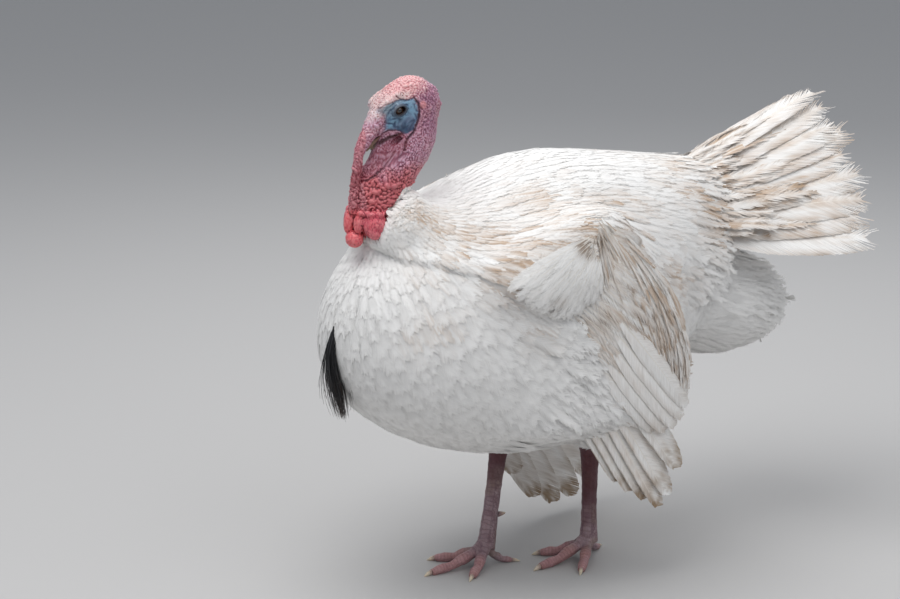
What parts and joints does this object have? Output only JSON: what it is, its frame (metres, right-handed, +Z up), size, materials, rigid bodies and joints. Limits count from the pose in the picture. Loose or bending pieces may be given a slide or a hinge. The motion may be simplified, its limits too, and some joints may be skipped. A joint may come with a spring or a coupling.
{
  "type": "white domestic tom turkey, standing still model",
  "caption": "Life-size still model of a standing white farm-breed tom turkey with half-spread tail, drooped wings, hanging snood and breast beard.",
  "frame": {"origin": "on the floor, below the middle of the bird's outline seen from above", "axes": "the bird faces -Y and its tail points along +Y, its left side is +X, +Z is up"},
  "size_m": [0.4366, 0.937, 0.7775],
  "materials": {
    "plumage": "soft white contour feathers, stained pale tan on the shoulders and rump",
    "flight_feathers": "cream-white vanes with pale shafts, tan stains and worn tips",
    "bare_skin": "wrinkled, nodular, pink-red on the crown, blue round the eye, red low on the neck",
    "caruncles": "swollen, smooth and slightly moist",
    "horn": "satin horn, pale at the tips",
    "leg_skin": "scaly, dry, mauve-pink",
    "eye": "wet gloss, dark brown iris and black pupil",
    "beard": "coarse black bristle, slightly glossy"
  },
  "bodies": {
    "root": {"trunk": "plumage", "neck_cape": "plumage", "vent_fluff": "plumage", "wing_arm_left": "plumage", "wing_arm_right": "plumage", "thigh_left": "plumage", "thigh_right": "plumage", "tail_feathers": "flight_feathers", "wing_secondaries_left": "flight_feathers", "wing_secondaries_right": "flight_feathers", "wing_primaries_left": "flight_feathers", "wing_primaries_right": "flight_feathers", "head": "bare_skin", "neck": "bare_skin", "snood": "caruncles", "caruncle_front": "caruncles", "caruncle_left": "caruncles", "caruncle_right": "caruncles", "bill_upper": "horn", "bill_lower": "horn", "spur_left": "horn", "spur_right": "horn", "claw_inner_left": "horn", "claw_middle_left": "horn", "claw_outer_left": "horn", "claw_hind_left": "horn", "claw_inner_right": "horn", "claw_middle_right": "horn", "claw_outer_right": "horn", "claw_hind_right": "horn", "shank_left": "leg_skin", "shank_right": "leg_skin", "toe_inner_left": "leg_skin", "toe_middle_left": "leg_skin", "toe_outer_left": "leg_skin", "toe_hind_left": "leg_skin", "toe_inner_right": "leg_skin", "toe_middle_right": "leg_skin", "toe_outer_right": "leg_skin", "toe_hind_right": "leg_skin", "eye_left": "eye", "eye_right": "eye", "beard": "beard"}
  },
  "joints": []
}
